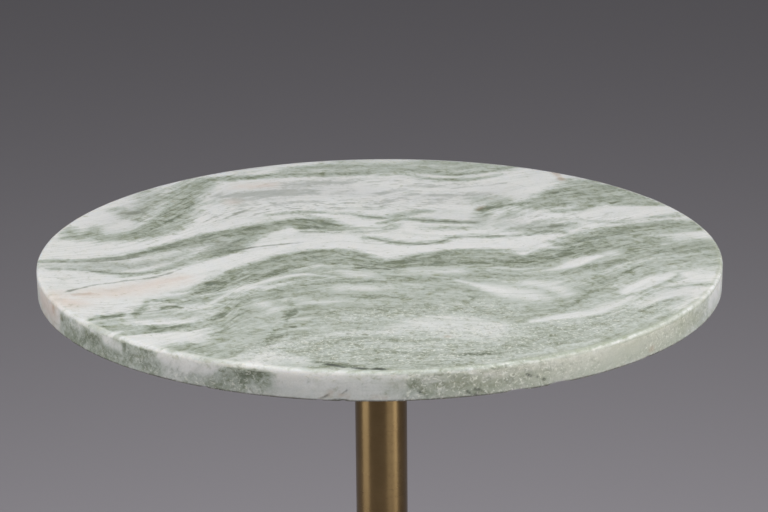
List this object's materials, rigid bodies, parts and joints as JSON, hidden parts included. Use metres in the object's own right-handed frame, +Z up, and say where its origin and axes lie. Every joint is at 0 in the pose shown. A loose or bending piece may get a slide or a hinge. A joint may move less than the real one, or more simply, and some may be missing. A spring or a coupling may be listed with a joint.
{
  "type": "wine table",
  "caption": "Small round pedestal table: honed green and white marble disc on a slim brass-finished column clamped to a weighted dome base with levelling glides.",
  "frame": {"origin": "on the floor, under the middle of the base, on the column's axis", "axes": "+Z up along the column; X and Y level, with the glides on the diagonals between them"},
  "size_m": [0.406, 0.406, 0.56],
  "materials": {
    "green_marble": "honed",
    "antique_brass": "satin antique plate on steel",
    "turned_brass": "turned",
    "black_steel": "black powder coat",
    "zinc_steel": "zinc plated",
    "cast_iron": "as cast, painted black",
    "cork_rubber": "matte",
    "black_nylon": "moulded"
  },
  "bodies": {
    "table": {"marble_top": "green_marble", "marble_inserts": "turned_brass", "top_pad": "cork_rubber", "top_plate": "black_steel", "plate_screws": "zinc_steel", "plate_washers": "zinc_steel", "upper_spigot": "zinc_steel", "stem_tube": "antique_brass", "tie_rod": "zinc_steel", "rod_lock_nut": "zinc_steel", "base_cover": "antique_brass", "base_weight": "cast_iron", "base_washer": "zinc_steel", "base_spring_washer": "zinc_steel", "base_nut": "zinc_steel"},
    "glide_1": {"glide_foot_1": "black_nylon", "glide_stud_1": "zinc_steel"},
    "glide_2": {"glide_foot_2": "black_nylon", "glide_stud_2": "zinc_steel"},
    "glide_3": {"glide_foot_3": "black_nylon", "glide_stud_3": "zinc_steel"},
    "glide_4": {"glide_foot_4": "black_nylon", "glide_stud_4": "zinc_steel"}
  },
  "joints": [
    {"name": "glide_1_height", "type": "slide", "parent": "table", "child": "glide_1", "axis": [0, 0, -1], "range_m": [0, 0.006]},
    {"name": "glide_2_height", "type": "slide", "parent": "table", "child": "glide_2", "axis": [0, 0, -1], "range_m": [0, 0.006]},
    {"name": "glide_3_height", "type": "slide", "parent": "table", "child": "glide_3", "axis": [0, 0, -1], "range_m": [0, 0.006]},
    {"name": "glide_4_height", "type": "slide", "parent": "table", "child": "glide_4", "axis": [0, 0, -1], "range_m": [0, 0.006]}
  ]
}
